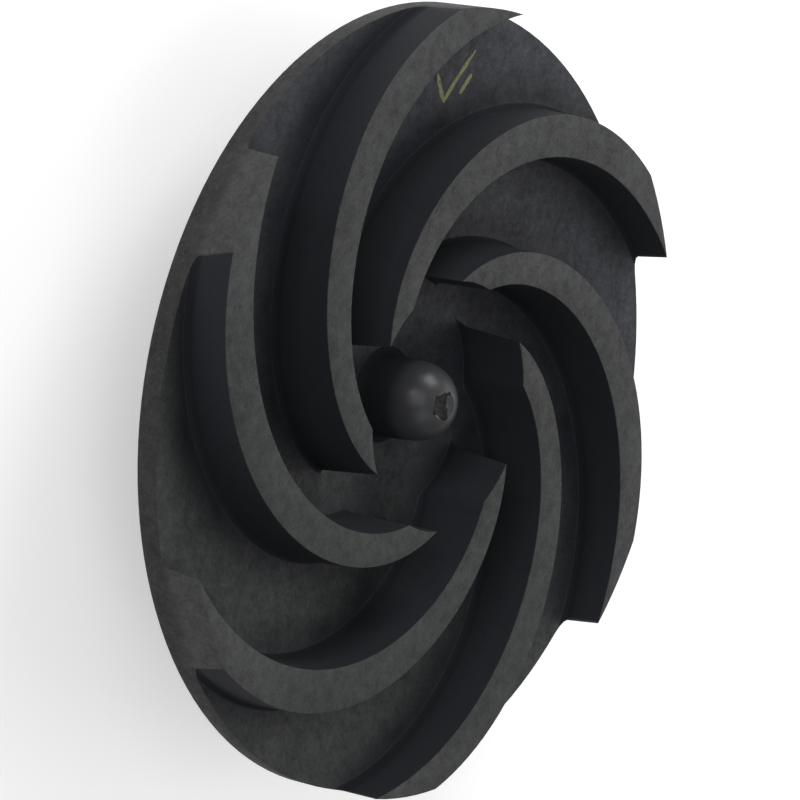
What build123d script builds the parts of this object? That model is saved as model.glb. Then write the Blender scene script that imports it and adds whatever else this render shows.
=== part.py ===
from build123d import *
from math import asin, cos, degrees, hypot, radians, sin, tan
import os

# Open-faced centrifugal pump impeller, injection moulded in one piece.
#
# A dished plate carries six backward-curved vanes and a round nose. The boss on its
# back is tapped for the threaded end of a shaft. The impeller lies on the end of that
# boss, vanes up: z = 0 is the boss's end face, and the origin is the shaft's axis on
# it. +Z runs along the shaft towards the suction eye. Seen from the eye the impeller
# turns anticlockwise, so the outer ends of its vanes trail.

# ---- Driving dimensions, in millimetres and degrees ----

# Whole impeller
IMPELLER_DIAMETER = 133.0
EYE_DIAMETER = 42.2            # circle on which the vanes start
VANE_COUNT = 6

# Plate: a shallow cone that falls from the rim towards the hub
PLATE_THICKNESS = 4.0          # along the shaft
PLATE_ANGLE = 6.8
RIM_CHAMFER = 0.4              # on the back edge of the rim

# Vanes, whose front edges lie in one flat plane
VANE_RISE_AT_RIM = 7.3         # from the floor at the rim to that plane
CONVEX_DRAFT = 3.5             # lean of the outer wall, wider at its root
CONCAVE_DRAFT = 2.0            # lean of the inner wall
ROOT_FILLET = 1.0              # where the walls meet the floor
TIP_WRAP = 14.4                # from the concave to the convex wall, round the rim

# A wall's blade angle is measured from the circle that it crosses. It falls from the
# eye to the rim as a power of the share of the way out.
CONVEX_INLET_ANGLE = 33.6
CONVEX_OUTLET_ANGLE = 14.8
CONVEX_POWER = 3.7
CONCAVE_INLET_ANGLE = 36.9
CONCAVE_OUTLET_ANGLE = 18.4
CONCAVE_POWER = 2.2

# Nose: a round end on a short post, level with the front edges of the vanes
NOSE_DIAMETER = 13.5
NOSE_DRAFT = 3.0
NOSE_FILLET = 1.6

# Scar of the moulding gate: a shallow hollow a little to one side of the nose's end
SCAR_DIAMETER = 4.8
SCAR_DIP = 0.4                 # below a flat across its mouth
SCAR_OFFSET = 1.0              # of its middle, from the shaft's axis

# Boss, with a blind hole for a 5/8-18 UNF thread
BOSS_DIAMETER = 30.0           # where it meets the plate
BOSS_LENGTH = 18.0             # from its end face to the plate
BOSS_DRAFT = 1.5
BOSS_FILLET = 3.0
BOSS_END_CHAMFER = 0.8
THREAD_DIAMETER = 15.875
BORE_DEPTH = 17.0
BORE_CHAMFER = 1.0

# How a vane wall is drawn: points on its curve, flats round its fillet, steps in
# adding up its blade angle, and where the curve starts and stops, so that it runs past
# the vane at both ends
WALL_POINTS = 11
FILLET_FLATS = 3
SIMPSON_STEPS = 24
WALL_START = 0.85              # share of the eye's radius
WALL_STOP = 1.03               # share of the rim's radius

# Where the seams of the turned surfaces lie, in degrees round the shaft: clear of the
# first vane's outer end
PLATE_SEAM = 200
RING_SEAM = 180

# ---- Sizes that follow ----

RIM_RADIUS = IMPELLER_DIAMETER / 2
EYE_RADIUS = EYE_DIAMETER / 2
NOSE_RADIUS = NOSE_DIAMETER / 2
BOSS_RADIUS = BOSS_DIAMETER / 2
BORE_RADIUS = THREAD_DIAMETER / 2
PLATE_SLOPE = tan(radians(PLATE_ANGLE))


def back_height(radius):
    """Height of the plate's back at a radius."""
    return BOSS_LENGTH + (radius - BOSS_RADIUS) * PLATE_SLOPE


def floor_height(radius):
    """Height of the floor between the vanes at a radius."""
    return back_height(radius) + PLATE_THICKNESS


FRONT_HEIGHT = floor_height(RIM_RADIUS) + VANE_RISE_AT_RIM


# ---- Plate, nose and boss: one turned outline ----

def nose_profile():
    """Where the nose's post meets the floor, and where it meets the round end."""
    draft = radians(NOSE_DRAFT)
    end_centre = FRONT_HEIGHT - NOSE_RADIUS
    top = (NOSE_RADIUS * cos(draft), end_centre + NOSE_RADIUS * sin(draft))
    reach = top[0] + (top[1] - floor_height(0)) * tan(draft)
    foot_radius = reach / (1 + PLATE_SLOPE * tan(draft))
    return (foot_radius, floor_height(foot_radius)), top


def rounded(section, corner, radius):
    """Round the corner of a section that lies nearest to a point."""
    vertex = section.vertices().sort_by_distance((*corner, 0))[0]
    return fillet(vertex, radius)


def hub_and_plate():
    """The plate with its nose, boss and bore, as a solid of revolution."""
    nose_foot, nose_top = nose_profile()
    boss_end_radius = BOSS_RADIUS - BOSS_LENGTH * tan(radians(BOSS_DRAFT))
    boss_corner = (BOSS_RADIUS, back_height(BOSS_RADIUS))
    rim_inset = RIM_RADIUS - RIM_CHAMFER
    walls = Polyline(
        (0, BORE_DEPTH),
        (BORE_RADIUS, BORE_DEPTH),
        (BORE_RADIUS, BORE_CHAMFER),
        (BORE_RADIUS + BORE_CHAMFER, 0),
        (boss_end_radius - BOSS_END_CHAMFER, 0),
        (boss_end_radius, BOSS_END_CHAMFER),
        boss_corner,
        (rim_inset, back_height(rim_inset)),
        (RIM_RADIUS, back_height(RIM_RADIUS) + RIM_CHAMFER),
        (RIM_RADIUS, floor_height(RIM_RADIUS)),
        nose_foot,
        nose_top,
    )
    round_end = RadiusArc(nose_top, (0, FRONT_HEIGHT), -NOSE_RADIUS)
    axis_side = Line((0, FRONT_HEIGHT), (0, BORE_DEPTH))
    section = make_face(walls + round_end + axis_side)
    section = rounded(section, nose_foot, NOSE_FILLET)
    section = rounded(section, boss_corner, BOSS_FILLET)
    return Rot(Z=PLATE_SEAM) * revolve(Plane.XZ * section, Axis.Z)


def gate_scar():
    """A ball that cuts the gate's scar into the nose."""
    mouth_radius = SCAR_DIAMETER / 2
    mouth_height = (NOSE_RADIUS ** 2 - mouth_radius ** 2) ** 0.5
    ball_radius = (mouth_radius ** 2 + SCAR_DIP ** 2) / (2 * SCAR_DIP)
    ball_height = mouth_height - SCAR_DIP + ball_radius
    tilt = degrees(asin(SCAR_OFFSET / NOSE_RADIUS))
    nose_centre = Pos(0, 0, FRONT_HEIGHT - NOSE_RADIUS) * Rot(X=tilt)
    return nose_centre * Pos(0, 0, ball_height) * Sphere(ball_radius)


# ---- Vanes ----

CONVEX_WALL = (CONVEX_INLET_ANGLE, CONVEX_OUTLET_ANGLE, CONVEX_POWER)
CONCAVE_WALL = (CONCAVE_INLET_ANGLE, CONCAVE_OUTLET_ANGLE, CONCAVE_POWER)


def blade_angle(wall, radius):
    """Angle, in radians, between a wall and the circle that it crosses at a radius."""
    inlet, outlet, power = wall
    share = max(0.0, (radius - EYE_RADIUS) / (RIM_RADIUS - EYE_RADIUS))
    return radians(inlet + (outlet - inlet) * share ** power)


def wrap(wall, radius):
    """Angle, in radians, that a wall turns about the shaft from the rim to a radius."""
    step = (RIM_RADIUS - radius) / SIMPSON_STEPS
    total = 0.0
    for index in range(SIMPSON_STEPS + 1):
        here = radius + index * step
        if index in (0, SIMPSON_STEPS):
            weight = 1
        else:
            weight = 4 if index % 2 else 2
        total += weight / (here * tan(blade_angle(wall, here)))
    return total * step / 3


def wall_curve(wall, rim_azimuth, side, draft, height_at, flare):
    """One wall's line, at the heights given by a function of the radius.

    Side is 1 for the convex wall and -1 for the concave one. Draft and flare move the
    line outward of the vane.
    """
    inner = WALL_START * EYE_RADIUS
    outer = WALL_STOP * RIM_RADIUS
    points = []
    for index in range(WALL_POINTS):
        radius = inner + (outer - inner) * index / (WALL_POINTS - 1)
        depth = FRONT_HEIGHT - height_at(radius)
        outward = side * (depth * tan(radians(draft)) + flare)
        azimuth = radians(rim_azimuth) + wrap(wall, radius)
        heading = azimuth + blade_angle(wall, radius)
        x = radius * cos(azimuth) + outward * cos(heading)
        y = radius * sin(azimuth) + outward * sin(heading)
        points.append((x, y, height_at(hypot(x, y))))
    return Spline(*points)


def vane_outline(height_at, flare=0):
    """A vane's closed outline, longer than the vane at both ends."""
    convex = wall_curve(CONVEX_WALL, TIP_WRAP, 1, CONVEX_DRAFT, height_at, flare)
    concave = wall_curve(CONCAVE_WALL, 0, -1, CONCAVE_DRAFT, height_at, flare)
    inner_end = Line(convex @ 0, concave @ 0)
    outer_end = Line(concave @ 1, convex @ 1)
    return Wire([convex.edge(), outer_end.edge(), concave.edge(), inner_end.edge()])


def flat(height):
    """A level plane, as a function of the radius."""
    return lambda radius: height


def above_floor(rise):
    """Heights that follow the sloping floor, as a function of the radius."""
    return lambda radius: floor_height(radius) + rise


def fillet_outlines():
    """Outlines round the root fillet, from its top down to just under the floor."""
    outlines = []
    for index in range(FILLET_FLATS):
        angle = radians(90 * index / FILLET_FLATS)
        rise = ROOT_FILLET * (1 - sin(angle))
        flare = ROOT_FILLET * (1 - cos(angle))
        outlines.append(vane_outline(above_floor(rise), flare))
    outlines.append(vane_outline(above_floor(-rise), 2 * ROOT_FILLET - flare))
    return outlines


def vane_space():
    """The ring that the vanes fill, from within the plate up to the front plane."""
    half_plate = PLATE_THICKNESS / 2
    section = Polyline(
        (EYE_RADIUS, back_height(EYE_RADIUS) + half_plate),
        (RIM_RADIUS, back_height(RIM_RADIUS) + half_plate),
        (RIM_RADIUS, FRONT_HEIGHT),
        (EYE_RADIUS, FRONT_HEIGHT),
        close=True,
    )
    return Rot(Z=RING_SEAM) * revolve(Plane.XZ * make_face(section), Axis.Z)


def make_vane():
    """One vane, cut to the eye, the rim and the front plane."""
    front = vane_outline(flat(FRONT_HEIGHT))
    inside_plate = vane_outline(flat(back_height(WALL_START * EYE_RADIUS)))
    outlines = [front, *fillet_outlines(), inside_plate]
    return Solid.make_loft(outlines, ruled=True) & vane_space()


# ---- The impeller ----

hub = hub_and_plate() - gate_scar()
vane = make_vane()
spacing = 360 / VANE_COUNT
impeller = hub + [Rot(Z=number * spacing) * vane for number in range(VANE_COUNT)]
impeller.label = "impeller"

os.makedirs("parts", exist_ok=True)
export_step(impeller, "parts/impeller.step")
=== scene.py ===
"""Looks of a moulded plastic pump impeller: plastic, thread, paint mark, floor, light, camera."""
import math

import bmesh
import bpy
from mathutils import Matrix, Vector


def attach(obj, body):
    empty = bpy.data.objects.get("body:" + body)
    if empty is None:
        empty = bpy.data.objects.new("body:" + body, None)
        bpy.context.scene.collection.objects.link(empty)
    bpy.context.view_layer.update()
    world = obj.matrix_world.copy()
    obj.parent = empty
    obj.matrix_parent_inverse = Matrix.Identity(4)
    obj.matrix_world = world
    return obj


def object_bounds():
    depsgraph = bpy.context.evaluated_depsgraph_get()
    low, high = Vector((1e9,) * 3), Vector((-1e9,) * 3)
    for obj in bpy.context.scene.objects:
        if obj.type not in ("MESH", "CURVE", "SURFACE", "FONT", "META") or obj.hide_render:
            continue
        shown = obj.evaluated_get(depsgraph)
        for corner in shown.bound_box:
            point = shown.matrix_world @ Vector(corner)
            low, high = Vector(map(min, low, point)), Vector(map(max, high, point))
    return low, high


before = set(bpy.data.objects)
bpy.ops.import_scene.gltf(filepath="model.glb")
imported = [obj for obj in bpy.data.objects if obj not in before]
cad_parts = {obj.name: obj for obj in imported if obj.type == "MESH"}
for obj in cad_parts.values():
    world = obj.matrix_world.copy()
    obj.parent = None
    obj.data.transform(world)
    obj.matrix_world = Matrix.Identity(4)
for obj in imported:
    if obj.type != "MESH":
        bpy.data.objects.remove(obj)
cad_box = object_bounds()

MM = 0.001


def grey(level):
    """A neutral colour, linear."""
    return (level, level, level, 1.0)


# ---- Sizes taken from the frame ----

RIM_RADIUS = cad_box[1][0]
FRONT_HEIGHT = cad_box[1][2]

# ---- Sizes of the object, as in its source ----

EYE_RADIUS = 21.1 * MM
RIM_FLOOR_HEIGHT = 28.141 * MM         # of the floor between the vanes, at the rim
FLOOR_SLOPE = math.tan(math.radians(6.8))
NOSE_RADIUS = 6.75 * MM
BORE_RADIUS = 7.9375 * MM
BORE_DEPTH = 17.0 * MM
BORE_CHAMFER = 1.0 * MM

# ---- Rounding of sharp edges ----

EDGE_ROUNDING = 0.35 * MM
EDGE_SEGMENTS = 3
SHARPEST_SMOOTH = math.radians(38)     # edges that turn less stay as they are
WELD_DISTANCE = 0.002 * MM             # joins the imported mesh's faces along their edges

# ---- Thread: its profile in shares of the pitch, its depth, and how it fades at its ends ----

THREAD_PITCH = 25.4 / 18 * MM
THREAD_DEPTH = 0.6 * MM
THREAD_FOOT = 0.46                     # half the ridge's width at its foot
THREAD_CREST = 0.09                    # and at its crest
THREAD_SINK = 0.02 * MM                # of the foot into the bore's wall
THREAD_STEPS = 72                      # round one turn
THREAD_TIP = 0.02                      # share of the depth at the very ends
THREAD_RISE = 3                        # share of the depth gained in each turn from there

# ---- Paint mark, on the floor between two vanes: a tick and a short dash, in mm ----

TICK = ((-54.0, -9.0), (-51.6, -6.9), (-50.0, -5.2), (-54.2, -3.3), (-59.6, -0.4))
DASH = ((-51.9, -1.4), (-55.6, 0.4))
PAINT_LIFT = 0.03 * MM
PAINT_WIDTH = 0.9 * MM
PAINT_STEPS = 12                       # along each stroke between two points
PEN_AHEAD = 0.06                       # share of the stroke over which its direction is taken
PEN_TIP = 0.35                         # share of the width at a stroke's ends
PEN_SWELL = 5                          # how fast it widens from there
PEN_WAVER = 0.12                       # share by which the width wavers
PEN_WAVES = 23                         # radians of that waver along a stroke

# ---- Noises: size of the blobs, detail, roughness ----

GRAIN = (2.4 * MM, 4, 1.0)
PATCHES = (13 * MM, 2, 0.55)           # lighter and darker areas of the grain
SPECKS = (0.7 * MM, 2, 0.6)
SCRATCHES = (1, 2, 0.6)                # in the scaled space that they run round in
SCRATCHED_AREAS = (9 * MM, 2, 0.5)
WASH = (7 * MM, 2, 0.5)                # of faint tints
RAGGED_EDGE = (0.8 * MM, 3, 0.55)
LIT_TOP_NOISE = (3 * MM, 2, 0.6)
TORN_EDGE = (2.6 * MM, 2, 0.5)
SCAR_TEETH = (0.9 * MM, 3, 0.6)
PAINT_COVER = (0.5 * MM, 4, 0.75)

# ---- Ranges of a noise, or of ambient occlusion, over which a look comes in ----

SPECK_RANGE = (0.66, 0.76)
SCRATCH_RANGE = (0.6, 0.75)
SCRATCHED_RANGE = (0.5, 0.62)
WASH_RANGE = (0.4, 0.6)
SCAR_GRAIN_RANGE = (0.45, 0.55)
# occlusion over which the floor's painted shade fades out
UNSHADED_FLOOR_RANGE = (0.6, 1.0)
PAINT_RANGE = (0.3, 0.6)

# ---- Strength of the texture ----

GRAIN_CONTRAST = 2.3
PATCH_CONTRAST = 0.5
SPECK_SHARE = 0.3                      # how pale specks and scratches are
SCRATCH_SHARE = 0.25
SCRATCH_GAP = 0.35 * MM                # between scratches, outwards
SCRATCH_HEIGHT = 4 * MM                # along the shaft
SCRATCHES_ROUND = 9                    # blobs in a radian round the shaft
PAINTED_SHADE_REACH = 9 * MM                 # how near a wall has to be to darken the floor with painted shade
PAINTED_SHADE_SAMPLES = 6

# ---- Where each look is: from where it starts to where it is full, off its own level ----

GROUND_EDGE = (-0.16 * MM, -0.06 * MM)         # off the fronts and off the rim
GROUND_RAGGED = 0.1 * MM
EYE_EDGE = (-1.5 * MM, -1.0 * MM)              # off the eye's radius
OUTER_RANGE = (56 * MM, 63 * MM)               # radii where the ground fronts get lighter
VANE_END_EDGE = (-0.5 * MM, 2 * MM)            # off the floor's height at the rim
BACK_EDGE = (1.5 * MM, 2.5 * MM)               # below the floor
BALL_EDGE = (-1.5 * MM, 1.5 * MM)              # off the floor's height at the rim
NOSE_EDGE = (0.02 * NOSE_RADIUS, 0.1 * NOSE_RADIUS)
LIT_TOP_EDGE = (-0.5 * MM, 3 * MM)                # off the fronts
LIT_TOP_RAGGED = 6 * MM
FLOOR_CORE, FLOOR_FADE = 0.05 * MM, 0.1 * MM   # to both sides of the floor
ROOT_CORE, ROOT_FADE = 0.9 * MM, 1.2 * MM
SHADED_SIDE_TILT = -0.4                               # share of y in x plus y, towards the side that is greener and has painted shade on its fronts
SHADED_SIDE_RANGE = (-35 * MM, 35 * MM)
SHADED_SIDE_RAGGED = 25 * MM

# ---- Gate scar on the nose ----

SCAR_RADIUS = 2.1 * MM
SCAR_MIDDLE = -1.2 * MM                        # its place along y
SCAR_EDGE = (-0.5 * MM, -0.2 * MM)             # off its radius
SCAR_RAGGED = 6 * MM
SCAR_TOP_EDGE = (-2 * MM, -1.5 * MM)           # off the fronts

# ---- Colours, linear: for the dark and the light end of the grain where there are two ----

FRONT_DARK = grey(0.026)
FRONT_LIGHT = ((0.061, 0.068, 0.063, 1), (0.068, 0.066, 0.071, 1))        # both ends of the wash
# the fronts' light end on one side, darker as painted shade
FRONT_LIGHT_SHADED = ((0.052, 0.060, 0.056, 1), (0.055, 0.059, 0.058, 1))
FRONT_OUTER = (grey(0.030), (0.071, 0.073, 0.076, 1))
# the rim's cylinder, darker than the fronts as painted shade
RIM_SHADED = (grey(0.014), grey(0.040))
VANE_END = (grey(0.027), (0.064, 0.065, 0.068, 1))
PALE_GROUND = grey(0.12)
FLOOR = ((0.0160, 0.0173, 0.0220, 1), (0.0480, 0.0515, 0.0620, 1))
FLOOR_GREENER = ((0.0160, 0.0172, 0.0172, 1), (0.0475, 0.0515, 0.0500, 1))
PALE_FLOOR = (0.085, 0.090, 0.104, 1)
WALL = ((0.0090, 0.0100, 0.0135, 1), (0.0115, 0.0125, 0.0160, 1))
# painted shade at the roots of the walls
ROOT_PAINTED_SHADE = (0.0085, 0.0095, 0.0125, 1)
BACK = ((0.014, 0.015, 0.018, 1), (0.034, 0.035, 0.039, 1))
BALL = (0.037, 0.038, 0.042, 1)
# painted light on the top of the nose
NOSE_PAINTED_LIGHT = (0.052, 0.053, 0.055, 1)
SCAR = (grey(0.006), (0.022, 0.024, 0.019, 1))
PAINT = ((0.075, 0.08, 0.025, 1), (0.20, 0.205, 0.06, 1))

# ---- Gloss and relief ----

PLASTIC_SPECULAR = 0.25
MOULDED_ROUGHNESS = 0.75
GRAIN_POLISH = -0.25                   # added to it by the light grains of floor and back,
ROOT_DULLING = 0.2                     # by the roots of the walls,
BALL_POLISH = -0.43                    # by the nose's ball
SCAR_DULLING = 0.5                     # and by the scar
GROUND_ROUGHNESS = (0.78, 0.62)        # of dark and light grains
PAINT_ROUGHNESS = (0.7, 0.5)           # where it is thin and thick
GRAIN_DEPTH, GRAIN_STRENGTH = 0.09 * MM, 0.8
BALL_SMOOTHING = 0.7                   # share of the grain's relief that the ball lacks
SCAR_DEPTH = 0.6 * MM
PAINT_DEPTH, PAINT_STRENGTH = 0.03 * MM, 0.6

# ---- Studio ----

STUDIO_REACH = 6.0                     # from the middle of its floor to its sides
STUDIO_LEVEL = -0.02 * MM              # just below the object's lowest face
STUDIO_COLOUR = grey(0.85)
STUDIO_ROUGHNESS = 0.9
STUDIO_GLOW = 0.4                      # seen by the camera and by reflections only
AMBIENT = 0.22                         # the world's light on the object

# Each light: name, direction from the aim, distance, size, power
LIGHTS = (
    ("key", (-0.90, -0.03, 0.44), 0.5, 0.25, 1.3),
    ("fill", (-0.15, -0.82, 0.55), 1.0, 0.7, 3.3),
    ("glint", (-0.36, -0.90, 0.24), 1.0, 0.12, 0.6),
    ("back", (0.01, 0.80, 0.60), 1.0, 0.7, 2.0),
    ("side", (-0.37, 0.73, 0.58), 0.5, 0.3, 0.35),
    ("low", (0.64, -0.37, 0.67), 1.0, 0.6, 1.45),
)

# ---- Camera: where it aims, and how it stands and turns about its view ----

AIM = Vector((0.39, -4.27, 28.14)) * MM
CAMERA_DISTANCE = 0.6452
CAMERA_AZIMUTH = math.radians(-90.23)
CAMERA_ELEVATION = math.radians(35.91)
CAMERA_ROLL = math.radians(100.82)
LENS = 174.1
SENSOR = 36.0
CLIP_START = 0.01


def floor_height(radius):
    """Height of the floor between the vanes."""
    return RIM_FLOOR_HEIGHT - (RIM_RADIUS - radius) * FLOOR_SLOPE


# ---- Node helpers ----

class Nodes:
    """A material's node tree, with short names for the nodes used here."""

    def __init__(self, name):
        self.material = bpy.data.materials.new(name)
        self.material.use_nodes = True
        self.tree = self.material.node_tree
        self.shader = self.tree.nodes["Principled BSDF"]
        self.output = self.tree.nodes["Material Output"]
        self.place = self.new("TexCoord").outputs["Object"]

    def new(self, kind):
        return self.tree.nodes.new("ShaderNode" + kind)

    def put(self, value, socket):
        """Links a socket or sets a plain value."""
        if isinstance(value, bpy.types.NodeSocket):
            self.tree.links.new(value, socket)
        else:
            socket.default_value = value

    def look(self, name, value):
        """Gives the shader one of its values."""
        self.put(value, self.shader.inputs[name])

    def math(self, operation, *values, clamp=False):
        node = self.new("Math")
        node.operation = operation
        node.use_clamp = clamp
        for socket, value in zip(node.inputs, values):
            self.put(value, socket)
        return node.outputs[0]

    def add(self, first, second):
        return self.math("ADD", first, second)

    def times(self, first, second):
        """Product; of two shares, it is 1 only where both are."""
        return self.math("MULTIPLY", first, second)

    def either(self, first, second):
        """The larger of two shares."""
        return self.math("MAXIMUM", first, second)

    def plus(self, start, value, factor):
        """Start plus the value times the factor."""
        return self.math("MULTIPLY_ADD", value, factor, start)

    def centred(self, share):
        """A share from 0 to 1, moved to lie round 0."""
        return self.math("SUBTRACT", share, 0.5)

    def length(self, x, y):
        return self.math("SQRT", self.add(self.times(x, x), self.times(y, y)))

    def ramp(self, value, low, high, start=0.0, stop=1.0):
        """Takes the range from low to high smoothly to the one from start to stop."""
        node = self.new("MapRange")
        node.interpolation_type = "SMOOTHSTEP"
        for socket, given in zip(node.inputs, (value, low, high, start, stop)):
            self.put(given, socket)
        return node.outputs[0]

    def beyond(self, value, level, edge):
        """1 past a level and 0 before it, with an edge measured from the level."""
        return self.ramp(value, level + edge[0], level + edge[1])

    def within(self, value, level, edge):
        """0 past a level and 1 before it, with an edge measured from the level."""
        return self.ramp(value, level + edge[0], level + edge[1], 1.0, 0.0)

    def near(self, value, target, core, fade):
        """1 where a value is within the core of a target, fading to 0 over the fade."""
        gap = self.math("ABSOLUTE", self.math("SUBTRACT", value, target))
        return self.within(gap, core, (0, fade))

    def noise(self, size, detail, roughness, vector=None):
        """Noise from 0 to 1 whose blobs are about that size in metres."""
        node = self.new("TexNoise")
        self.put(vector or self.place, node.inputs["Vector"])
        node.inputs["Scale"].default_value = 1 / size
        node.inputs["Detail"].default_value = detail
        node.inputs["Roughness"].default_value = roughness
        return node.outputs["Fac"]

    def occlusion(self, reach, samples):
        """Ambient occlusion, used as painted shade: 1 in the open, less where the object's own walls
        are near.
        """
        node = self.new("AmbientOcclusion")
        node.inputs["Distance"].default_value = reach
        node.samples = samples
        node.only_local = True
        return node.outputs["AO"]

    def split(self):
        """The x, y and z of the place in the frame."""
        node = self.new("SeparateXYZ")
        self.put(self.place, node.inputs[0])
        return node.outputs

    def combine(self, x, y, z):
        node = self.new("CombineXYZ")
        for socket, value in zip(node.inputs, (x, y, z)):
            self.put(value, socket)
        return node.outputs[0]

    def mix(self, share, first, second):
        """Colour between two colours."""
        node = self.new("Mix")
        node.data_type = "RGBA"
        self.put(share, node.inputs["Factor"])
        first_colour, second_colour = node.inputs[6:8]
        self.put(first, first_colour)
        self.put(second, second_colour)
        return node.outputs[2]

    def bump(self, height, distance, strength, normal=None):
        node = self.new("Bump")
        node.inputs["Strength"].default_value = strength
        node.inputs["Distance"].default_value = distance
        self.put(height, node.inputs["Height"])
        if normal:
            self.put(normal, node.inputs["Normal"])
        return node.outputs[0]


# ---- The impeller's plastic ----

class Plastic(Nodes):
    """Near-black moulded plastic, ground to a granular grey on the fronts and the rim.

    The places it finds are shares: 1 where a look belongs, 0 elsewhere.
    """

    def __init__(self):
        super().__init__("moulded_plastic")
        self.x, self.y, self.z = self.split()
        self.radius = self.length(self.x, self.y)
        self.find_ground()
        self.find_moulded()
        self.find_nose()
        self.make_texture()
        self.look("Base Color", self.mix(self.ground, self.moulded_colour(), self.ground_colour()))
        self.look("Roughness", self.roughness())
        self.look("Normal", self.relief())
        self.look("Specular IOR Level", PLASTIC_SPECULAR)

    def find_ground(self):
        """The vanes' flat fronts, the rim's cylinder, and what of it is a vane's end."""
        ragged = self.times(self.centred(self.noise(*RAGGED_EDGE)), GROUND_RAGGED)
        front = self.beyond(self.add(self.z, ragged), FRONT_HEIGHT, GROUND_EDGE)
        self.front = self.times(front, self.beyond(self.radius, EYE_RADIUS, EYE_EDGE))
        rim = self.beyond(self.add(self.radius, ragged), RIM_RADIUS, GROUND_EDGE)
        self.ground = self.either(self.front, rim)
        self.vane_end = self.beyond(self.z, RIM_FLOOR_HEIGHT, VANE_END_EDGE)

    def find_moulded(self):
        """The floor between the vanes, the roots of the walls on it, and the back."""
        cone = self.plus(floor_height(0), self.radius, FLOOR_SLOPE)
        self.floor = self.near(self.z, cone, FLOOR_CORE, FLOOR_FADE)
        root = self.near(self.z, cone, ROOT_CORE, ROOT_FADE)
        self.root = self.math("SUBTRACT", root, self.floor, clamp=True)
        self.back = self.ramp(self.math("SUBTRACT", cone, self.z), *BACK_EDGE)

    def find_nose(self):
        """The nose's ball, its top lightened with painted light, and the gate's scar."""
        nose = self.within(self.radius, NOSE_RADIUS, NOSE_EDGE)
        self.ball = self.times(self.beyond(self.z, RIM_FLOOR_HEIGHT, BALL_EDGE), nose)
        nose_lit_top = self.plus(self.z, self.noise(*LIT_TOP_NOISE), LIT_TOP_RAGGED)
        self.nose_lit_top = self.times(self.beyond(nose_lit_top, FRONT_HEIGHT, LIT_TOP_EDGE), nose)
        away = self.length(self.x, self.math("SUBTRACT", self.y, SCAR_MIDDLE))
        away = self.plus(away, self.centred(self.noise(*TORN_EDGE)), SCAR_RAGGED)
        scar = self.within(away, SCAR_RADIUS, SCAR_EDGE)
        self.scar = self.times(scar, self.beyond(self.z, FRONT_HEIGHT, SCAR_TOP_EDGE))

    def make_texture(self):
        """Grain, pale specks and scratches round the shaft, a wash of tints, and a side that is
        greener, with painted shade on its fronts.
        """
        self.grain = self.noise(*GRAIN)
        patches = self.plus(0.5, self.centred(self.noise(*PATCHES)), PATCH_CONTRAST)
        self.texture = self.math(
            "MULTIPLY_ADD", self.centred(self.grain), GRAIN_CONTRAST, patches, clamp=True)
        speck = self.ramp(self.noise(*SPECKS), *SPECK_RANGE)
        outwards = self.math("DIVIDE", self.radius, SCRATCH_GAP)
        around = self.times(self.math("ARCTAN2", self.y, self.x), SCRATCHES_ROUND)
        upwards = self.math("DIVIDE", self.z, SCRATCH_HEIGHT)
        scaled = self.combine(outwards, around, upwards)
        scratch = self.ramp(self.noise(*SCRATCHES, scaled), *SCRATCH_RANGE)
        scratched = self.ramp(self.noise(*SCRATCHED_AREAS), *SCRATCHED_RANGE)
        scratch = self.times(scratch, scratched)
        self.pale = self.add(self.times(speck, SPECK_SHARE), self.times(scratch, SCRATCH_SHARE))
        self.wash = self.ramp(self.noise(*WASH), *WASH_RANGE)
        # one side: greener on the floor, and darker on the fronts as painted shade
        greener_shaded_side = self.plus(self.plus(self.x, self.y, SHADED_SIDE_TILT), self.centred(self.wash), SHADED_SIDE_RAGGED)
        self.greener_shaded_side = self.ramp(greener_shaded_side, *SHADED_SIDE_RANGE)

    def ground_colour(self):
        light = self.mix(self.wash, *FRONT_LIGHT)
        # painted shade on one side of the fronts
        light = self.mix(self.greener_shaded_side, light, self.mix(self.wash, *FRONT_LIGHT_SHADED))
        front = self.mix(self.texture, FRONT_DARK, light)
        outer = self.ramp(self.radius, *OUTER_RANGE)
        front = self.mix(outer, front, self.mix(self.texture, *FRONT_OUTER))
        # painted shade: the rim darker than the fronts
        rim = self.mix(self.texture, *RIM_SHADED)
        rim = self.mix(self.vane_end, rim, self.mix(self.texture, *VANE_END))
        return self.mix(self.pale, self.mix(self.front, rim, front), PALE_GROUND)

    def moulded_colour(self):
        wall = self.mix(self.texture, *WALL)
        floor = self.mix(self.texture, *FLOOR)
        floor = self.mix(self.greener_shaded_side, floor, self.mix(self.texture, *FLOOR_GREENER))
        floor = self.mix(self.pale, floor, PALE_FLOOR)
        # painted shade: near walls the floor takes the walls' dark colour
        unshaded_floor = self.ramp(self.occlusion(PAINTED_SHADE_REACH, PAINTED_SHADE_SAMPLES), *UNSHADED_FLOOR_RANGE)
        floor = self.mix(unshaded_floor, wall, floor)
        # painted shade darkens the roots of the walls
        colour = self.mix(self.floor, self.mix(self.root, wall, ROOT_PAINTED_SHADE), floor)
        colour = self.mix(self.back, colour, self.mix(self.texture, *BACK))
        colour = self.mix(self.ball, colour, BALL)
        # painted light on the nose's top
        colour = self.mix(self.nose_lit_top, colour, NOSE_PAINTED_LIGHT)
        scar = self.mix(self.ramp(self.grain, *SCAR_GRAIN_RANGE), *SCAR)
        return self.mix(self.scar, colour, scar)

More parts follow.
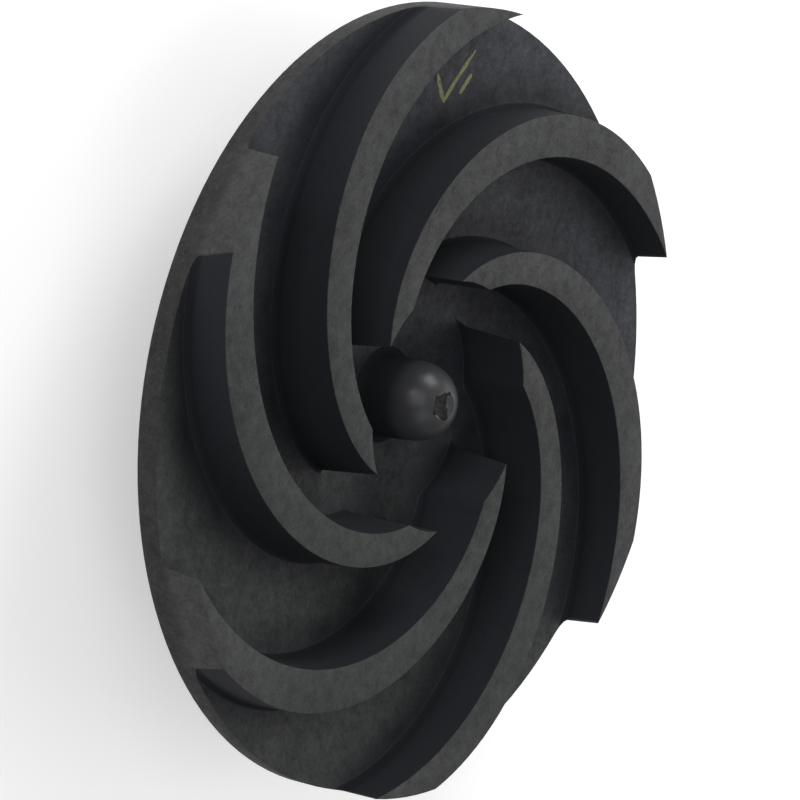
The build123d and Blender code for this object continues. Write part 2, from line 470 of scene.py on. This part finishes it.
    def roughness(self):
        grainy = self.times(self.texture, self.either(self.floor, self.back))
        moulded = self.plus(MOULDED_ROUGHNESS, grainy, GRAIN_POLISH)
        moulded = self.plus(moulded, self.root, ROOT_DULLING)
        moulded = self.plus(moulded, self.ball, BALL_POLISH)
        moulded = self.plus(moulded, self.scar, SCAR_DULLING)
        ground = self.ramp(self.texture, 0, 1, *GROUND_ROUGHNESS)
        return self.plus(moulded, self.math("SUBTRACT", ground, moulded), self.ground)

    def relief(self):
        """Fine grain, weaker on the ball, and the scar's torn surface."""
        kept = self.math("SUBTRACT", 1, self.times(self.ball, BALL_SMOOTHING))
        surface = self.bump(self.times(self.grain, kept), GRAIN_DEPTH, GRAIN_STRENGTH)
        return self.bump(self.times(self.scar, self.noise(*SCAR_TEETH)), SCAR_DEPTH, 1.0, surface)


def dress_impeller(plastic):
    """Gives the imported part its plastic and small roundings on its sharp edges."""
    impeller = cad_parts["impeller"]
    impeller.data.materials.clear()
    impeller.data.materials.append(plastic)
    for polygon in impeller.data.polygons:
        polygon.use_smooth = True
    weld = impeller.modifiers.new("weld", "WELD")
    weld.merge_threshold = WELD_DISTANCE
    bevel = impeller.modifiers.new("rounding", "BEVEL")
    bevel.width = EDGE_ROUNDING
    bevel.segments = EDGE_SEGMENTS
    bevel.limit_method = "ANGLE"
    bevel.angle_limit = SHARPEST_SMOOTH
    bevel.harden_normals = True


# ---- Pieces built from rows of points ----

def join_rows(build, previous, row):
    """Fills the strip between two rows of vertices."""
    for a in range(len(row) - 1):
        build.faces.new((previous[a], previous[a + 1], row[a + 1], row[a]))


def finished(build, name, material):
    """Makes the built faces an object of the scene."""
    bmesh.ops.recalc_face_normals(build, faces=build.faces)
    mesh = bpy.data.meshes.new(name)
    build.to_mesh(mesh)
    build.free()
    mesh.materials.append(material)
    item = bpy.data.objects.new(name, mesh)
    bpy.context.scene.collection.objects.link(item)
    return item


# ---- Thread inside the blind hole ----

def thread(plastic):
    """Ridge of a right-hand thread, on the bore's wall."""
    build = bmesh.new()
    low = BORE_CHAMFER + THREAD_PITCH / 2
    high = BORE_DEPTH - THREAD_PITCH
    turns = (high - low) / THREAD_PITCH
    steps = int(turns * THREAD_STEPS)
    foot = BORE_RADIUS + THREAD_SINK
    previous = None
    for step in range(steps + 1):
        turn = turns * step / steps
        angle = 2 * math.pi * turn
        fade = THREAD_TIP + min(1 - THREAD_TIP, THREAD_RISE * turn, THREAD_RISE * (turns - turn))
        crest = BORE_RADIUS - THREAD_DEPTH * fade
        profile = ((foot, -THREAD_FOOT), (crest, -THREAD_CREST),
                   (crest, THREAD_CREST), (foot, THREAD_FOOT))
        ring = []
        for radius, share in profile:
            height = low + (turn + share) * THREAD_PITCH
            place = (radius * math.cos(angle), radius * math.sin(angle), height)
            ring.append(build.verts.new(place))
        if previous:
            join_rows(build, previous, ring)
        previous = ring
    piece = finished(build, "shaft_thread", plastic)
    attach(piece, "root")


# ---- Paint mark ----

def paint():
    """Yellow paint pen, thinner in patches."""
    nodes = Nodes("yellow_paint")
    cover = nodes.ramp(nodes.noise(*PAINT_COVER), *PAINT_RANGE)
    nodes.look("Base Color", nodes.mix(cover, *PAINT))
    nodes.look("Roughness", nodes.ramp(cover, 0, 1, *PAINT_ROUGHNESS))
    nodes.look("Normal", nodes.bump(cover, PAINT_DEPTH, PAINT_STRENGTH))
    return nodes.material


def along(points, share):
    """The point at a share of the way along a line of points."""
    place = share * (len(points) - 1)
    index = min(int(place), len(points) - 2)
    return points[index].lerp(points[index + 1], place - index)


def stroke(build, points):
    """One pen stroke on the floor, narrower at both ends."""
    points = [Vector(point) * MM for point in points]
    steps = PAINT_STEPS * (len(points) - 1)
    previous = None
    for step in range(steps + 1):
        share = step / steps
        middle = along(points, share)
        ahead = along(points, min(1.0, share + PEN_AHEAD)) - along(points, max(0.0, share - PEN_AHEAD))
        across = Vector((-ahead.y, ahead.x)).normalized()
        ends = min(1.0, PEN_TIP + PEN_SWELL * share, PEN_TIP + PEN_SWELL * (1 - share))
        half = 0.5 * PAINT_WIDTH * ends * (1 + PEN_WAVER * math.sin(PEN_WAVES * share))
        row = []
        for side in (-1, 0, 1):
            x, y = middle + across * side * half
            row.append(build.verts.new((x, y, floor_height(math.hypot(x, y)) + PAINT_LIFT)))
        if previous:
            join_rows(build, previous, row)
        previous = row


def paint_mark():
    """A tick and a dash in yellow paint pen."""
    build = bmesh.new()
    stroke(build, TICK)
    stroke(build, DASH)
    mark = finished(build, "paint_mark", paint())
    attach(mark, "root")


# ---- Floor, light and camera ----

def studio_floor():
    """A white floor that keeps the object's shadow, and is clear when seen from below."""
    mesh = bpy.data.meshes.new("studio_floor")
    corners = [(x * STUDIO_REACH, y * STUDIO_REACH, STUDIO_LEVEL)
               for x, y in ((-1, -1), (1, -1), (1, 1), (-1, 1))]
    mesh.from_pydata(corners, [], [(0, 1, 2, 3)])
    floor = bpy.data.objects.new("studio_floor", mesh)
    bpy.context.scene.collection.objects.link(floor)
    nodes = Nodes("studio_floor")
    nodes.look("Base Color", STUDIO_COLOUR)
    nodes.look("Roughness", STUDIO_ROUGHNESS)
    nodes.look("Specular IOR Level", 0.0)
    path = nodes.new("LightPath")
    seen = nodes.either(path.outputs["Is Camera Ray"], path.outputs["Is Glossy Ray"])
    nodes.look("Emission Color", grey(1.0))
    nodes.look("Emission Strength", nodes.times(seen, STUDIO_GLOW))
    surface = nodes.new("MixShader")
    nodes.put(nodes.new("NewGeometry").outputs["Backfacing"], surface.inputs[0])
    nodes.put(nodes.shader.outputs[0], surface.inputs[1])
    nodes.put(nodes.new("BsdfTransparent").outputs[0], surface.inputs[2])
    nodes.put(surface.outputs[0], nodes.output.inputs["Surface"])
    floor.data.materials.append(nodes.material)


def area_light(name, direction, distance, size, power):
    """A square soft light that aims at the object."""
    data = bpy.data.lights.new(name, "AREA")
    data.size = size
    data.energy = power
    light = bpy.data.objects.new(name, data)
    bpy.context.scene.collection.objects.link(light)
    place = AIM + Vector(direction).normalized() * distance
    light.location = place
    light.rotation_euler = (AIM - place).to_track_quat("-Z", "Y").to_euler()


def studio_light():
    """The soft lights, in a world that is dim but looks white to the camera."""
    world = bpy.data.worlds.new("studio")
    world.use_nodes = True
    background = world.node_tree.nodes["Background"]
    background.inputs["Color"].default_value = grey(1.0)
    path = world.node_tree.nodes.new("ShaderNodeLightPath")
    strength = world.node_tree.nodes.new("ShaderNodeMath")
    strength.operation = "MAXIMUM"
    strength.inputs[0].default_value = AMBIENT
    world.node_tree.links.new(path.outputs["Is Camera Ray"], strength.inputs[1])
    world.node_tree.links.new(strength.outputs[0], background.inputs["Strength"])
    bpy.context.scene.world = world
    for light in LIGHTS:
        area_light(*light)


def camera():
    """The camera, set back from the aim along its azimuth and elevation, then rolled."""
    data = bpy.data.cameras.new("camera")
    data.lens = LENS
    data.sensor_width = SENSOR
    data.sensor_fit = "HORIZONTAL"
    data.clip_start = CLIP_START
    eye = bpy.data.objects.new("camera", data)
    bpy.context.scene.collection.objects.link(eye)
    level = math.cos(CAMERA_ELEVATION)
    back = Vector((level * math.cos(CAMERA_AZIMUTH), level * math.sin(CAMERA_AZIMUTH),
                   math.sin(CAMERA_ELEVATION)))
    turned = back.to_track_quat("Z", "Y").to_matrix().to_4x4()
    roll = Matrix.Rotation(CAMERA_ROLL, 4, "Z")
    eye.matrix_world = Matrix.Translation(AIM + back * CAMERA_DISTANCE) @ turned @ roll
    bpy.context.scene.camera = eye


moulded_plastic = Plastic().material
dress_impeller(moulded_plastic)
thread(moulded_plastic)
paint_mark()
studio_floor()
studio_light()
camera()
bpy.context.scene.view_settings.view_transform = "Standard"
